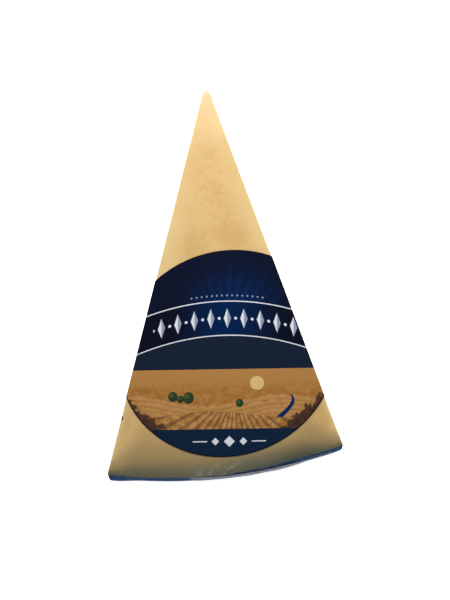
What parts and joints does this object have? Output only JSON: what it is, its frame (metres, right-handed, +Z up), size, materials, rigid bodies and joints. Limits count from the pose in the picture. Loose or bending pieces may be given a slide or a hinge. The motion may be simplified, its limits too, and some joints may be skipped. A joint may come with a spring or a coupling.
{
  "type": "parmesan wedge",
  "caption": "Wedge of hard cheese with a blue coated rind, sealed in clear film that clings to it, with a large round label folded over both cut sides.",
  "frame": {"origin": "middle of the bounding box in plan, on the surface that the wedge lies on", "axes": "+Y towards the wedge's tip, so the rind faces -Y; +Z up, out of the face with the label; +X to the right when the rind is nearest"},
  "size_m": [0.0744, 0.1234, 0.0354],
  "materials": {
    "cheese_in_film": "pale yellow hard cheese, blue on the rim, under clear glossy film",
    "printed_label": "satin print, dark blue with a golden band"
  },
  "bodies": {
    "root": {"sealed_wedge": "cheese_in_film", "label": "printed_label"}
  },
  "joints": []
}
